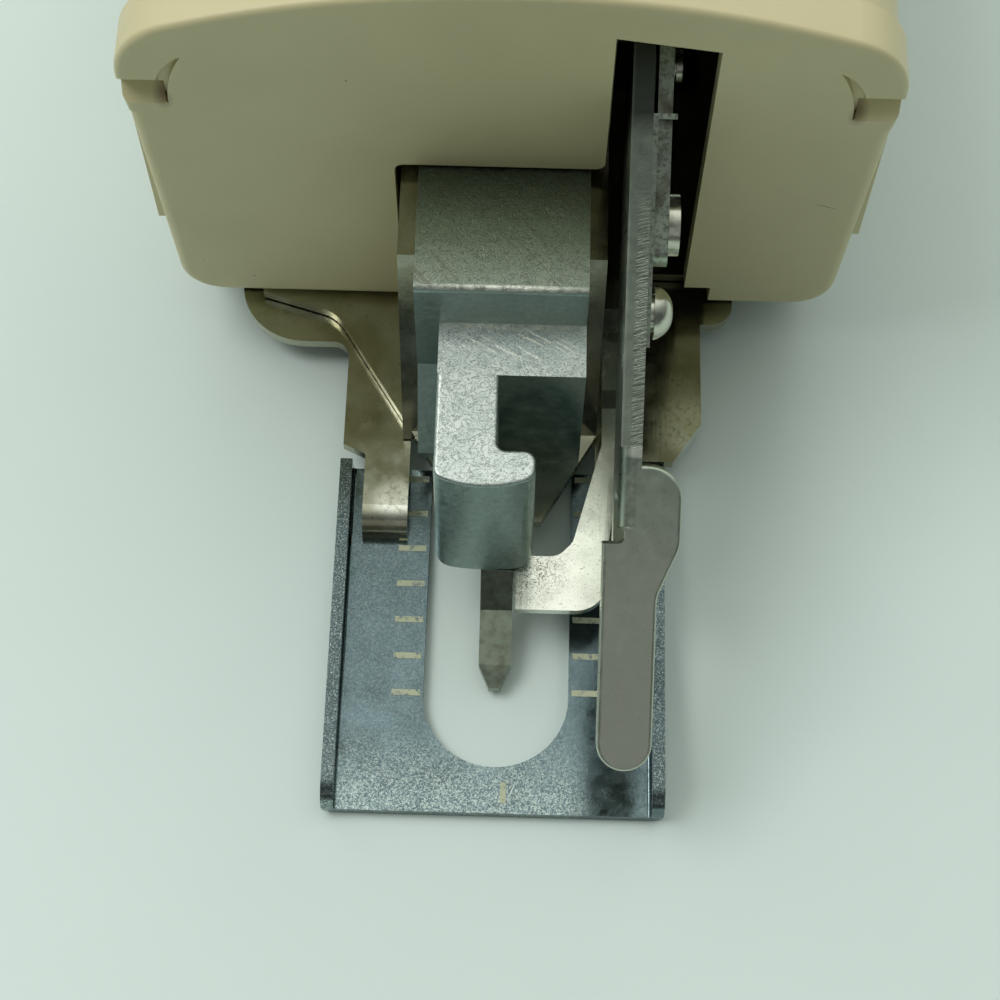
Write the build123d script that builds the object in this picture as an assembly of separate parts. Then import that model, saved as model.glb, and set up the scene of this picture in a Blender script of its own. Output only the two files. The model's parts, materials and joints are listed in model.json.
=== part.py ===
from build123d import *
import math
import os

os.makedirs("parts", exist_ok=True)

# Driving dimensions in millimetres.
# X points to the operator's right, Y rearward from the cover's front face, Z up from the machine bed.

# Fits
running_clearance = 0.05
side_clearance = 0.2
lift_clearance = 0.3

# Cover
rim_half_width = 28.95
rim_crown_height = 46.7
rim_height = 14.9
rim_taper_gap = 1.2
rim_depth = 4.0
rim_step = 0.35
rim_crown_step = 0.8
rim_edge_radius = 0.5
crown_rise = 6.27
shoulder_radius = 6.5
cover_length = 72.0
cover_wall = 1.8
cover_rear_radius = 3.5
skirt_setback = 1.0
skirt_bottom = 15.5
apron_inset = 0.25
apron_taper = 1.1
apron_bottom = 5.0
apron_corner_radius = 3.6
apron_edge_radius = 1.0
pocket_inset = 3.4
pocket_rise = 1.2
pocket_bend_rise = 1.2
pocket_height = 3.0
pocket_depth = 1.2
scoop_depth = 0.7
scoop_width = 0.8
scoop_lean = 1.6
scoop_height = 5.8

# Front opening of the cover
notch_left = -8.9
notch_top = 25.6
notch_radius = 0.8
slot_left = 7.4
slot_right = 15.0
slot_drop_left = 4.4
slot_drop_right = 5.7
step_right = 17.2
step_top = 7.8

# Frame plate
frame_sheet = 1.0
frame_bottom = apron_bottom - lift_clearance - frame_sheet
frame_front = 3.0
frame_rear = 66.0
flange_top = 21.5
tongue_tip_left = -2.7
tongue_tip_right = 3.3
tongue_tip = -20.7
tongue_right = 10.2
tongue_right_start = -8.4
tongue_left = -14.6
tongue_left_start = -1.6
tongue_corner = -21.0
tongue_corner_start = 0.3
tongue_left_radius = 3.4
tongue_right_radius = 1.5
ear_sheet = 1.4
ear_left_face = -7.0
ear_right_face = 6.35
ear_top = 24.3
ear_top_front = -7.3
ear_toe = -13.0
left_ear_rear = 14.0
right_ear_rear = 18.0
right_ear_rise = 4.0
right_ear_crown = 4.6

# Attaching foot
foot_rear = 8.0
foot_ridge = -10.7
foot_top = 25.0
foot_crown = 0.3
foot_ridge_radius = 0.6
foot_shelf_top = 20.0
channel_rear = -15.2
channel_width = 6.3
finger_left = -5.1
finger_right = -0.3
finger_front = -23.7
finger_bulge = 0.9
hook_right = 2.65
finger_bottom = 6.3
finger_draft = 1.85
finger_foot_bulge = 0.3
finger_corner = 1.5
finger_edge_radius = 0.3
finger_left_radius = 0.8
hook_front_radius = 1.2
hook_rear_radius = 0.9
hook_root_radius = 0.7
shoulder_top = 13.0
foot_rivet_radius = 1.5
foot_rivets_at = [(6.4, 12.0), (-4.6, 19.6)]

# Presser toe
toe_sheet = 0.8
toe_root_left = 8.2
toe_root_rear = -1.0
toe_rise_start = -8.8
toe_rise = 0.5
toe_rise_run = 2.0
toe_wing_right = 8.7
toe_wing_start = -14.2
toe_wing_rear = -24.3
toe_wing_front = -28.95
toe_wing_corner = 2.5
toe_waist = (5.95, -23.0)
toe_waist_radius = 1.6
toe_neck = 4.75
toe_left = -1.45
toe_right = 1.16
toe_root = -25.6
toe_ramp_run = 2.4
toe_ramp_drop = 2.8
toe_slope_drop = 1.2
toe_tip = -34.1
toe_nose = 1.8
toe_nose_drop = 0.6
toe_nose_width = 0.9
toe_rivet_radius = 0.7
toe_rivet_y = -3.6

# Cloth clamp
clamp_half_width = 13.6
clamp_sheet = 1.0
clamp_front = -44.4
clamp_rear = -14.6
clamp_flange_height = 3.0
clamp_flange_corner = 2.0
clamp_bend_radius = 1.2
clamp_inner_radius = 0.3
clamp_slot_half = 5.9
clamp_slot_front = -40.6

# Clamp carrier and cross slide
carrier_sheet = 1.0
carrier_bottom = frame_bottom - side_clearance - carrier_sheet
carrier_tail_rear = 64.0
carrier_wide_rear = 5.0
carrier_left = -22.9
carrier_left_front = -3.8
carrier_left_radius = 5.5
carrier_right = 19.5
carrier_right_front = -1.2
carrier_right_radius = 2.0
leg_left = -13.4
leg_right = 16.7
leg_right_chamfer = -10.8
leg_right_end = 14.3
leg_outer = 11.5
leg_inner = 7.75
leg_step_rise = 0.9
leg_bridge_front = -2.5
leg_bend = -17.8
leg_root_radius = 1.4
hook_reach = 3.5
hook_radius = 2.3
window_half = 10.0
window_front = 28.5
window_rear = 61.0
bite_travel = 2.0
feed_back = 1.5
slide_bar = 2.0
slide_play = 0.6
slide_front = 9.0
slide_rear = 68.0

# Guide rails and template door
rail_inset = 3.7
rail_width = 3.0
rail_front = 8.0
rail_rear = 71.6
ledge_overlap = 0.5
ledge_bottom = 1.2
door_sheet = 1.0
door_bottom = 1.0
door_front = 9.0
door_pin_radius = 0.7
door_pin_y = 70.0
door_pin_z = 1.6
door_knuckle_radius = 1.4

# Feed spindle
spindle_y = 34.0
spindle_radius = 2.0
spindle_recess = 0.6
pinion_tip_radius = 3.2
pinion_root_radius = 2.4
pinion_teeth = 10
pinion_bottom = 2.3
ratchet_tip_radius = 11.8
ratchet_root_radius = 10.7
ratchet_teeth = 36
ratchet_height = 2.0
cam_radius = 5.0
cam_throw = 2.0
cam_bottom = 7.8
cam_height = 2.0
knob_radius = 7.0
knob_height = 6.0
knob_grips = 18
knob_grip_radius = 0.7
bridge_sheet = 1.5
bridge_lift = 3.0
bridge_inset = 2.6
bridge_half_depth = 4.0
yoke_sheet = 1.4
yoke_half_depth = 9.4
yoke_foot_half = 3.0

# Fork arm, laid level with its pivot at the origin, then turned to its rest slope
arm_slope = 31.0
pivot_y = 10.0
pivot_drop = 12.7
pivot_radius = 2.0
pivot_head_radius = 3.2
pivot_head_height = 0.9
arm_left = 8.9
arm_sheet = 1.6
arm_top = 7.0
arm_boss_radius = 7.0
arm_heel = -5.0
arm_taper_start = -22.0
web_front = -39.6
flange_start = -33.5
gap_root = -37.5
gap_height = 6.5
gap_radius = 1.5
prong_end = -45.0
prong_depth = 2.2
prong_radius = 0.8
blade_left = 7.77
blade_width = 4.2
blade_end = -58.2
relief_width = 1.2
relief_right = 9.4
relief_radius = 0.5
bend_radius = 1.3
blade_edge_radius = 0.3
heel_right = 13.6
heel_rear = -34.85
heel_front = -44.8
heel_taper = 3.8
heel_radius = 2.6

# Pieces on the right face of the fork arm
leaf_sheet = 0.4
leaf_rear = -9.0
leaf_front = -26.2
leaf_top = 5.4
leaf_bottom = -0.9
leaf_tab_top = 6.3
leaf_tab_reach = 1.4
strap_sheet = 1.1
strap_front = -20.2
strap_top = 5.2
strap_bottom = 1.2
strap_boss_radius = 4.5
strap_tail_width = 5.0
strap_end_radius = 1.4
arm_rivet_at = (-17.06, 3.25)
arm_rivet_radius = 1.0
arm_rivet_head = 2.35
arm_rivet_head_height = 0.85
stud_at = (-23.7, 1.39)
stud_radius = 1.0
stud_neck_radius = 1.5
stud_neck_height = 0.4
stud_dome_radius = 2.1
stud_dome_height = 1.45

# Feed pawl
pawl_pin_back = 4.0
pawl_pin_drop = 14.0
pawl_pin_radius = 1.0
pawl_pin_head = 1.6
pawl_pin_head_height = 0.5
pawl_sheet = 1.0
pawl_depth = 2.8
pawl_reach = 22.0
pawl_tooth = 1.4

# Width lever and screws
lever_y = 52.0
lever_reach = 14.0
lever_width = 5.0
lever_boss_radius = 4.0
lever_sheet = 1.4
lever_grip_radius = 2.2
lever_grip_height = 3.2
lever_screw_radius = 1.5
lever_screw_head = 2.9
lever_screw_head_height = 1.4
lever_screw_depth = 4.0
cover_screw_radius = 1.2
cover_screw_head = 2.3
cover_screw_head_height = 0.35
cover_screw_z = 18.4
cover_screws_at = [16.0, 56.0]

# Values worked out from the driving dimensions
rim_bottom = rim_crown_height - rim_height
pocket_low = rim_bottom + pocket_rise
pocket_bend = pocket_low + pocket_bend_rise
pocket_high = pocket_low + pocket_height
slot_top_left = rim_crown_height - slot_drop_left
slot_top_right = rim_crown_height - slot_drop_right
crown_radius = (rim_half_width**2 + crown_rise**2) / (2 * crown_rise)
crown_end_slope = math.asin(rim_half_width / crown_radius)
shoulder_low = rim_crown_height - crown_rise - shoulder_radius * math.tan(math.pi / 4 - crown_end_slope / 2)
rim_taper_top = shoulder_low - rim_taper_gap
body_half_width = rim_half_width - rim_step
body_crown = rim_crown_height - rim_crown_step
apron_half_width = rim_half_width - apron_inset
inner_half_width = body_half_width - cover_wall
inner_crown = body_crown - cover_wall
frame_top = frame_bottom + frame_sheet
frame_half_width = inner_half_width - side_clearance / 2
rail_outer = frame_half_width - rail_inset
rail_inner = rail_outer - rail_width
bridge_half_width = frame_half_width - frame_sheet - bridge_inset
carrier_top = carrier_bottom + carrier_sheet
slide_outer = rail_inner - bite_travel - slide_play
slide_inner = slide_outer - slide_bar
carrier_tail_half = slide_inner - side_clearance
ledge_inner = carrier_tail_half - ledge_overlap
yoke_leg = slide_inner + lift_clearance
arm_right = arm_left + arm_sheet
blade_bottom = arm_top - arm_sheet
blade_right = blade_left + blade_width
gap_bottom = blade_bottom - gap_height
prong_bottom = gap_bottom - prong_depth
leaf_right = arm_right + leaf_sheet
strap_right = leaf_right + strap_sheet
pawl_left = strap_right + lift_clearance
pawl_right = pawl_left + pawl_sheet
pivot_z = rim_crown_height - pivot_drop
right_ear_top = pivot_z + right_ear_crown
pawl_y = pivot_y + pawl_pin_back
pawl_z = pivot_z - pawl_pin_drop
ratchet_bottom = pawl_z - ratchet_height / 2
bridge_bottom = ratchet_bottom + ratchet_height + bridge_lift
knob_bottom = rim_crown_height + lift_clearance
spindle_top = knob_bottom + knob_height - spindle_recess
toe_rivet_x = (toe_root_left + tongue_right) / 2
lever_bottom = body_crown + lift_clearance
middle_y = (cover_length + clamp_front) / 2
at_base = (Align.CENTER, Align.CENTER, Align.MIN)
through = 200.0


# Small building blocks


def flat(outline, bottom, height):
    """A plan outline (X, Y) raised along Z."""
    return extrude(Plane.XY.offset(bottom) * outline, amount=height, dir=(0, 0, 1))


def side(outline, left, width):
    """A side outline (Y, Z) extended along X."""
    return extrude(Plane.YZ.offset(left) * outline, amount=width, dir=(1, 0, 0))


def front(outline, start, depth):
    """A front outline (X, Z) extended along Y."""
    return extrude(Plane.XZ.offset(-start) * outline, amount=depth, dir=(0, 1, 0))


def outline_of(*points):
    """A closed polygon at its own coordinates."""
    return Polygon(*points, align=None)


def window(left, right, low, high):
    """A rectangle from its four sides."""
    return Pos((left + right) / 2, (low + high) / 2) * Rectangle(right - left, high - low)


def rounded(outline, corner, radius):
    """Rounds the corner of an outline that lies nearest to a point."""
    vertex = outline.vertices().sort_by_distance((*corner, 0))[0]
    return fillet(vertex, radius)


def rod_x(radius, left, right, y, z):
    """A round bar along X."""
    return Pos(left, y, z) * Rot(0, 90, 0) * Cylinder(radius, right - left, align=at_base)


def rod_z(radius, bottom, top, x, y):
    """A round bar along Z."""
    return Pos(x, y, bottom) * Cylinder(radius, top - bottom, align=at_base)


def toothed_disc(tip, root, count, tip_share, rake):
    """A toothed outline. rake leans each tooth, from 0 for an even tooth to 1 for a saw tooth."""
    pitch = 2 * math.pi / count
    points = []
    for index in range(count):
        start = index * pitch
        rise = (1 - rake) * (1 - tip_share) / 4
        angles = [
            (start, root),
            (start + rise * pitch, tip),
            (start + (rise + tip_share) * pitch, tip),
            (start + (0.75 + rake / 4) * pitch, root),
        ]
        for angle, radius in angles:
            points.append((radius * math.cos(angle), radius * math.sin(angle)))
    return outline_of(*points)


def arm_place(shape):
    """Turns a level fork arm piece to its rest slope on the pivot."""
    return Pos(0, pivot_y, pivot_z) * Rot(arm_slope, 0, 0) * shape


# Cover


def arch(half_width, crown, bottom):
    """Front outline of the casing: straight sides, round shoulders and a shallow crown."""
    blank = window(-half_width, half_width, bottom, crown)
    outline = blank & Pos(0, crown - crown_radius) * Circle(crown_radius)
    return fillet(outline.vertices().group_by(Axis.Y)[-1], shoulder_radius)


def rim_outline():
    """The arch with its lower ends drawn in to the body's sides."""
    corner = outline_of(
        (body_half_width, rim_bottom), (rim_half_width, rim_bottom), (rim_half_width, rim_taper_top)
    )
    outline = arch(rim_half_width, rim_crown_height, rim_bottom)
    return outline - corner - mirror(corner, about=Plane.YZ)


def apron_outline():
    """The front wall's lower part, a little narrower at its rounded foot."""
    foot_half = apron_half_width - apron_taper
    apron_top = rim_bottom + cover_wall
    outline = outline_of(
        (-foot_half, apron_bottom),
        (foot_half, apron_bottom),
        (apron_half_width, apron_top),
        (-apron_half_width, apron_top),
    )
    return fillet(outline.vertices().group_by(Axis.Y)[0], apron_corner_radius)


def front_opening():
    """Foot notch, tall fork slot and the small step at the slot's foot, as one cut-out."""
    below = apron_bottom - cover_wall
    notch = window(notch_left, slot_right, below, notch_top)
    slot = outline_of(
        (slot_left, below), (slot_right, below), (slot_right, slot_top_right), (slot_left, slot_top_left)
    )
    step = window(notch_left, step_right, below, step_top)
    opening = notch + slot + step
    opening = rounded(opening, (slot_left, notch_top), notch_radius)
    return rounded(opening, (notch_left, notch_top), notch_radius)


def shoulder_pocket():
    """Wedge-shaped recess that runs in from the right end of the rim."""
    wedge = outline_of((0, pocket_low), (pocket_depth, pocket_bend), (0, pocket_high))
    pocket = side(wedge, rim_half_width - pocket_inset, pocket_inset + cover_wall)
    foot = (rim_half_width - pocket_inset - scoop_width / 4, pocket_low)
    tip = (foot[0] - scoop_lean, pocket_low + scoop_height)
    middle = ((foot[0] + tip[0]) / 2, (foot[1] + tip[1]) / 2)
    scoop = make_face(
        [
            ThreePointArc(foot, (middle[0] + 1.4 * scoop_width, middle[1] + scoop_width), tip),
            ThreePointArc(tip, (middle[0] + 0.4 * scoop_width, middle[1] + scoop_width / 2), foot),
        ]
    )
    return pocket + front(scoop, 0, scoop_depth)


def cover():
    rim = front(rim_outline(), 0, rim_depth)
    rim = fillet(rim.faces().sort_by(Axis.Y)[0].edges().sort_by(Axis.Z)[1:], rim_edge_radius)
    body = front(arch(body_half_width, body_crown, skirt_bottom), skirt_setback, cover_length - skirt_setback)
    back_edges = body.faces().sort_by(Axis.Y)[-1].edges().sort_by(Axis.Z)[1:]
    body = fillet(back_edges, cover_rear_radius)
    apron = front(apron_outline(), 0, cover_wall)
    apron = fillet(apron.faces().sort_by(Axis.Y)[0].edges().sort_by(Axis.Z)[:-1], apron_edge_radius)
    cavity = front(arch(inner_half_width, inner_crown, 0), cover_wall, cover_length - 2 * cover_wall)
    shell = rim + body + apron - cavity
    shell -= front(front_opening(), -cover_wall, 2 * cover_wall + side_clearance)
    pocket = shoulder_pocket()
    shell -= pocket
    shell -= mirror(pocket, about=Plane.YZ)
    shell -= rod_z(spindle_radius + lift_clearance, inner_crown - crown_radius / 10, through, 0, spindle_y)
    shell -= rod_z(lever_screw_radius, inner_crown - crown_radius / 10, through, 0, lever_y)
    for y in cover_screws_at:
        shell -= rod_x(cover_screw_radius, -through, through, y, cover_screw_z)
    return shell


def cover_screws():
    """Four pan-head screws that hold the skirts to the frame flanges."""
    inside = frame_half_width - frame_sheet
    screws = []
    for y in cover_screws_at:
        shank = rod_x(cover_screw_radius, inside, body_half_width, y, cover_screw_z)
        head_end = body_half_width + cover_screw_head_height
        head = rod_x(cover_screw_head, body_half_width, head_end, y, cover_screw_z)
        screw = shank + head
        screws += [screw, mirror(screw, about=Plane.YZ)]
    return Compound(screws)


# Frame plate and what is fixed to it


def ear(outline_points, left):
    return side(outline_of(*outline_points), left, ear_sheet)


def frame_plate():
    plan = outline_of(
        (tongue_tip_left, tongue_tip),
        (tongue_tip_right, tongue_tip),
        (tongue_right, tongue_right_start),
        (tongue_right, frame_front),
        (frame_half_width, frame_front),
        (frame_half_width, frame_rear),
        (-frame_half_width, frame_rear),
        (-frame_half_width, frame_front),
        (tongue_corner, frame_front),
        (tongue_corner, tongue_corner_start),
        (tongue_left, tongue_left_start),
    )
    plan = rounded(plan, (tongue_left, tongue_left_start), tongue_left_radius)
    plan = rounded(plan, (tongue_right, tongue_right_start), tongue_right_radius)
    plate = flat(plan, frame_bottom, frame_sheet)
    flange = flat(
        window(frame_half_width - frame_sheet, frame_half_width, frame_front, frame_rear),
        frame_bottom,
        flange_top - frame_bottom,
    )
    plate += flange + mirror(flange, about=Plane.YZ)
    front_edge = [(ear_top_front, ear_top), (ear_toe, frame_bottom)]
    left_points = [(left_ear_rear, frame_bottom), (left_ear_rear, ear_top)] + front_edge
    right_points = [
        (right_ear_rear, frame_bottom),
        (right_ear_rear, right_ear_top),
        (right_ear_rise, right_ear_top),
        (right_ear_rise, ear_top),
    ] + front_edge
    plate += ear(left_points, ear_left_face - ear_sheet)
    plate += ear(right_points, ear_right_face)
    plate -= rod_z(spindle_radius + running_clearance, 0, flange_top, 0, spindle_y)
    slot_inner = yoke_leg - bite_travel - lift_clearance
    slot_outer = yoke_leg + yoke_sheet + bite_travel + lift_clearance
    slot_half = yoke_foot_half + lift_clearance
    yoke_slot = flat(
        window(slot_inner, slot_outer, spindle_y - slot_half, spindle_y + slot_half), 0, flange_top
    )
    plate -= yoke_slot
    plate -= mirror(yoke_slot, about=Plane.YZ)
    plate -= rod_x(pivot_radius, ear_right_face - ear_sheet, arm_right, pivot_y, pivot_z)
    for y, z in foot_rivets_at:
        plate -= rod_x(foot_rivet_radius, ear_left_face - 2 * ear_sheet, ear_right_face + 2 * ear_sheet, y, z)
    plate -= rod_z(toe_rivet_radius, frame_bottom, frame_top, toe_rivet_x, toe_rivet_y)
    for y in cover_screws_at:
        plate -= rod_x(cover_screw_radius, -through, through, y, cover_screw_z)
    return plate


def finger_outline(front_y, bulge):
    """Plan of the finger and its hook, with a bowed front."""
    channel_front = channel_rear - channel_width
    bow = ((finger_left + hook_right) / 2, front_y - bulge)
    outline = make_face(
        [
            Line((finger_left, channel_rear), (finger_left, front_y)),
            ThreePointArc((finger_left, front_y), bow, (hook_right, front_y)),
            Line((hook_right, front_y), (hook_right, channel_front)),
            Line((hook_right, channel_front), (finger_right, channel_front)),
            Line((finger_right, channel_front), (finger_right, channel_rear)),
            Line((finger_right, channel_rear), (finger_left, channel_rear)),
        ]
    )
    outline = rounded(outline, (finger_left, front_y), finger_left_radius)
    outline = rounded(outline, (hook_right, front_y), hook_front_radius)
    outline = rounded(outline, (hook_right, channel_front), hook_rear_radius)
    return rounded(outline, (finger_right, channel_front), hook_root_radius)


def attaching_finger():
    """Finger with draft on its front, rounded at its lower corners and its upper edge."""
    foot_front = finger_front - finger_draft
    lower = Plane.XY.offset(frame_top) * finger_outline(foot_front, finger_foot_bulge)
    upper = Plane.XY.offset(foot_shelf_top) * finger_outline(finger_front, finger_bulge)
    finger = loft([lower, upper])
    top_edges = finger.faces().sort_by(Axis.Z)[-1].edges().sort_by(Axis.Y)[:-1]
    finger = fillet(top_edges, finger_edge_radius)
    reach = window(finger_left, hook_right, finger_bottom, foot_shelf_top)
    reach = fillet(reach.vertices().group_by(Axis.Y)[0], finger_corner)
    start = foot_front - 2 * finger_bulge
    seat = tongue_tip - side_clearance
    over_toe = finger & front(reach, start, seat - start)
    seated = window(finger_left, hook_right, seat, channel_rear)
    return over_toe + (finger & flat(seated, frame_top, foot_shelf_top - frame_top))


def attaching_foot():
    """Die-cast block between the ears, with a finger that hooks round the presser bar."""
    width = ear_right_face - ear_left_face
    block_outline = make_face(
        [
            Line((foot_rear, frame_top), (foot_rear, foot_top)),
            ThreePointArc(
                (foot_rear, foot_top),
                ((foot_rear + foot_ridge) / 2, foot_top + foot_crown),
                (foot_ridge, foot_top),
            ),
            Line((foot_ridge, foot_top), (foot_ridge, frame_top)),
            Line((foot_ridge, frame_top), (foot_rear, frame_top)),
        ]
    )
    block_outline = rounded(block_outline, (foot_ridge, foot_top), foot_ridge_radius)
    block = side(block_outline, ear_left_face, width)
    shelf_outline = window(finger_left, ear_right_face, channel_rear, foot_ridge)
    shelf = flat(shelf_outline, frame_top, foot_shelf_top - frame_top)
    shoulder_outline = outline_of(
        (foot_ridge, frame_top),
        (foot_ridge, shoulder_top),
        (channel_rear, frame_top + frame_sheet),
        (channel_rear, frame_top),
    )
    shoulder = side(shoulder_outline, ear_left_face, finger_left - ear_left_face)
    foot = block + shelf + shoulder + attaching_finger()
    for y, z in foot_rivets_at:
        foot -= rod_x(foot_rivet_radius, ear_left_face, ear_right_face, y, z)
    return foot


def foot_rivets():
    """Two flush rivets that hold the foot between the ears."""
    left = ear_left_face - ear_sheet
    right = ear_right_face + ear_sheet
    return Compound([rod_x(foot_rivet_radius, left, right, y, z) for y, z in foot_rivets_at])


def presser_toe():
    """Plated strip: a root on the tongue, a flat wing and a narrow toe that slopes into the clamp's slot."""
    root_top = frame_top + toe_sheet
    wing_bottom = frame_top + toe_rise
    wing_top = wing_bottom + toe_sheet
    rise_end = toe_rise_start - toe_rise_run
    root_outline = outline_of(
        (toe_root_rear, frame_top),
        (toe_root_rear, root_top),
        (toe_rise_start, root_top),
        (rise_end, wing_top),
        (toe_wing_start, wing_top),
        (toe_wing_start, wing_bottom),
        (rise_end, wing_bottom),
        (toe_rise_start, frame_top),
    )
    root = side(root_outline, toe_root_left, tongue_right - toe_root_left)
    root -= rod_z(toe_rivet_radius, frame_top, root_top, toe_rivet_x, toe_rivet_y)
    wing_outline = outline_of(
        (tongue_right, toe_wing_start),
        (toe_root_left, toe_wing_start),
        toe_waist,
        (toe_neck, toe_wing_rear),
        (toe_left, toe_wing_rear),
        (toe_left, toe_root),
        (toe_right, toe_root),
        (toe_right + side_clearance, toe_wing_front),
        (toe_wing_right, toe_wing_front),
        (toe_wing_right, finger_front),
    )
    wing_outline = rounded(wing_outline, (toe_wing_right, toe_wing_front), toe_wing_corner)
    wing_outline = rounded(wing_outline, toe_waist, toe_waist_radius)
    wing_outline = rounded(wing_outline, (toe_neck, toe_wing_rear), toe_waist_radius)
    wing = flat(wing_outline, wing_bottom, toe_sheet)
    ramp_end = toe_root - toe_ramp_run
    ramp_top = wing_top - toe_ramp_drop
    nose_start = toe_tip + toe_nose
    nose_top = ramp_top - toe_slope_drop
    tip_top = nose_top - toe_nose_drop
    upper = [
        (toe_wing_rear, wing_top),
        (toe_root, wing_top),
        (ramp_end, ramp_top),
        (nose_start, nose_top),
        (toe_tip, tip_top),
    ]
    lower = [(y, z - toe_sheet) for y, z in reversed(upper)]
    toe = side(outline_of(*upper, *lower), toe_left, toe_right - toe_left)
    nose_left = (toe_left + toe_right - toe_nose_width) / 2
    nose = outline_of(
        (toe_left, nose_start),
        (nose_left, toe_tip),
        (nose_left + toe_nose_width, toe_tip),
        (toe_right, nose_start),
        (toe_right, toe_wing_rear),
        (toe_left, toe_wing_rear),
    )
    toe &= flat(nose, 0, wing_top)
    return root + wing + toe


def toe_rivet():
    return rod_z(toe_rivet_radius, frame_bottom, frame_top + toe_sheet, toe_rivet_x, toe_rivet_y)


def pivot_pin():
    shank_end = strap_right + side_clearance / 2
    pin = rod_x(pivot_radius, ear_right_face, shank_end, pivot_y, pivot_z)
    return pin + rod_x(pivot_head_radius, shank_end, shank_end + pivot_head_height, pivot_y, pivot_z)


def pivot_washer():
    inner = ear_right_face + ear_sheet
    outer = arm_left - side_clearance / 2
    washer = rod_x(pivot_head_radius, inner, outer, pivot_y, pivot_z)
    return washer - rod_x(pivot_radius, inner, outer, pivot_y, pivot_z)


def guide_rail():
    """Right-hand rail: it stands on the bed, holds up the frame and carries the slides on a ledge."""
    ledge_top = carrier_bottom - side_clearance
    section = outline_of(
        (rail_inner, 0),
        (rail_outer, 0),
        (rail_outer, frame_bottom),
        (rail_inner, frame_bottom),
        (rail_inner, ledge_top),
        (ledge_inner, ledge_top),
        (ledge_inner, ledge_bottom),
        (rail_inner, ledge_bottom),
    )
    rail = front(section, rail_front, rail_rear - rail_front)
    return rail - rod_x(door_pin_radius, 0, rail_outer, door_pin_y, door_pin_z)


def door_pin():
    return rod_x(door_pin_radius, -rail_outer, rail_outer, door_pin_y, door_pin_z)


def template_door():
    half_width = ledge_inner - lift_clearance
    door = flat(window(-half_width, half_width, door_front, door_pin_y), door_bottom, door_sheet)
    door += rod_x(door_knuckle_radius, -half_width, half_width, door_pin_y, door_pin_z)
    return door - rod_x(door_pin_radius + running_clearance, -half_width, half_width, door_pin_y, door_pin_z)


def spindle_bridge():
    """Bent strap over the spindle, standing on the frame plate."""
    low = spindle_y - bridge_half_depth
    high = spindle_y + bridge_half_depth
    top = bridge_bottom + bridge_sheet
    strap = flat(window(-bridge_half_width, bridge_half_width, low, high), bridge_bottom, bridge_sheet)
    leg_outline = window(bridge_half_width - bridge_sheet, bridge_half_width, low, high)
    leg = flat(leg_outline, frame_top, top - frame_top)
    strap += leg + mirror(leg, about=Plane.YZ)
    return strap - rod_z(spindle_radius + running_clearance, bridge_bottom, top, 0, spindle_y)


# Feed spindle group


def spindle():
    return rod_z(spindle_radius, pinion_bottom, spindle_top, 0, spindle_y)


def on_spindle(outline, bottom, height):
    disc = flat(Pos(0, spindle_y) * outline, bottom, height)
    return disc - rod_z(spindle_radius, bottom, bottom + height, 0, spindle_y)


def ratchet_wheel():
    outline = toothed_disc(ratchet_tip_radius, ratchet_root_radius, ratchet_teeth, 0.08, 1.0)
    return on_spindle(outline, ratchet_bottom, ratchet_height)


def bite_cam():
    return on_spindle(Pos(0, cam_throw) * Circle(cam_radius), cam_bottom, cam_height)


def tracking_pinion():
    outline = toothed_disc(pinion_tip_radius, pinion_root_radius, pinion_teeth, 0.25, 0.0)
    return on_spindle(outline, pinion_bottom, carrier_top - pinion_bottom)


def advance_knob():
    """Scalloped knob on top of the cover."""
    grip = PolarLocations(knob_radius, knob_grips) * Circle(knob_grip_radius)
    knob = on_spindle(Circle(knob_radius) - grip, knob_bottom, knob_height)
    return knob


# Cross slide and clamp carrier


def cross_slide():
    inner_rear = slide_rear - slide_bar
    plan = window(-slide_outer, slide_outer, slide_front, slide_rear)
    plan -= window(-slide_inner, slide_inner, slide_front - slide_bar, inner_rear)
    return flat(plan, carrier_bottom, carrier_sheet)


def bite_yoke():
    """Bridge on the cross slide with a square window round the bite cam."""
    half = yoke_leg + yoke_sheet
    top = cam_bottom + cam_height
    opening = cam_radius + cam_throw + lift_clearance
    plan = window(-half, half, spindle_y - yoke_half_depth, spindle_y + yoke_half_depth)
    plan -= window(-opening, opening, spindle_y - opening, spindle_y + opening)
    yoke = flat(plan, top - yoke_sheet, yoke_sheet)
    leg = flat(
        window(yoke_leg, half, spindle_y - yoke_foot_half, spindle_y + yoke_foot_half),
        carrier_top,
        top - carrier_top,
    )
    return yoke + leg + mirror(leg, about=Plane.YZ)


def carrier_hook(left, right):
    """Leg end bent down on to the clamp plate."""
    tip = leg_bend - hook_reach
    lip = tip + carrier_sheet
    outline = outline_of(
        (leg_bend, carrier_bottom),
        (leg_bend, carrier_top),
        (tip, carrier_top),
        (tip, clamp_sheet),
        (lip, clamp_sheet),
        (lip, carrier_bottom),
    )
    outline = rounded(outline, (tip, carrier_top), hook_radius)
    return side(outline, left, right - left)


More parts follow.
